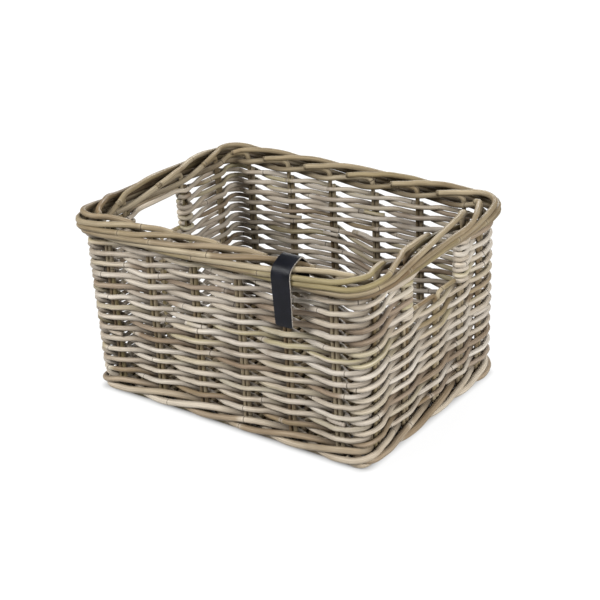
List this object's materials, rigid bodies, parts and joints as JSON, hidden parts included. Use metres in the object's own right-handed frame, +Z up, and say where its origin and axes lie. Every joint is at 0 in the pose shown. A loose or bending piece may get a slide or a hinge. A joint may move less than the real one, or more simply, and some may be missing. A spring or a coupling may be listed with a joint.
{
  "type": "bicycle basket",
  "caption": "Rectangular woven rattan bicycle basket with rounded corners, a rolled rim, a hand hole in each end and a bare label strap.",
  "frame": {"origin": "on the ground under the middle of the basket", "axes": "+X along the long side, +Y from the front wall, which carries the strap, to the back wall, +Z up"},
  "size_m": [0.4, 0.2932, 0.2161],
  "materials": {
    "weaver_rattan": "weathered grey rattan cane, satin, with darker nodes",
    "stake_rattan": "weathered brown grey rattan cane, satin",
    "foot_rattan": "weathered grey rattan cane, satin",
    "base_rattan": "weathered rattan cane with cut ends",
    "strap_leather": "black leather, satin grain, bare"
  },
  "bodies": {
    "root": {"side_weaver_1_outer": "weaver_rattan", "side_weaver_1_inner": "weaver_rattan", "side_weaver_2_outer": "weaver_rattan", "side_weaver_2_inner": "weaver_rattan", "side_weaver_3_outer": "weaver_rattan", "side_weaver_3_inner": "weaver_rattan", "side_weaver_4_outer": "weaver_rattan", "side_weaver_4_inner": "weaver_rattan", "side_weaver_5_outer": "weaver_rattan", "side_weaver_5_inner": "weaver_rattan", "front_upper_weaver_1": "weaver_rattan", "front_upper_weaver_2": "weaver_rattan", "front_upper_weaver_3": "weaver_rattan", "back_upper_weaver_1": "weaver_rattan", "back_upper_weaver_2": "weaver_rattan", "back_upper_weaver_3": "weaver_rattan", "front_top_weaver_outer": "weaver_rattan", "front_top_weaver_inner": "weaver_rattan", "right_top_weaver_outer": "weaver_rattan", "right_top_weaver_inner": "weaver_rattan", "back_top_weaver_outer": "weaver_rattan", "back_top_weaver_inner": "weaver_rattan", "left_top_weaver_outer": "weaver_rattan", "left_top_weaver_inner": "weaver_rattan", "stake_01": "stake_rattan", "stake_02": "stake_rattan", "stake_03": "stake_rattan", "stake_04": "stake_rattan", "stake_05": "stake_rattan", "stake_06": "stake_rattan", "stake_07": "stake_rattan", "stake_08": "stake_rattan", "stake_09": "stake_rattan", "stake_10": "stake_rattan", "stake_12": "stake_rattan", "stake_13": "stake_rattan", "stake_14": "stake_rattan", "stake_15": "stake_rattan", "stake_16": "stake_rattan", "stake_17": "stake_rattan", "stake_18": "stake_rattan", "stake_19": "stake_rattan", "stake_20": "stake_rattan", "stake_21": "stake_rattan", "right_sill_stake": "stake_rattan", "left_sill_stake": "stake_rattan", "foot_strand_1": "foot_rattan", "foot_strand_2": "foot_rattan", "foot_strand_3": "foot_rattan", "base_stick_front": "base_rattan", "base_stick_back": "base_rattan", "base_stick_left": "base_rattan", "base_stick_right": "base_rattan", "floor_stick_1": "base_rattan", "floor_stick_2": "base_rattan", "floor_stick_3": "base_rattan", "floor_stick_4": "base_rattan", "floor_stick_5": "base_rattan", "floor_weaver": "base_rattan", "label_strap": "strap_leather"}
  },
  "joints": []
}
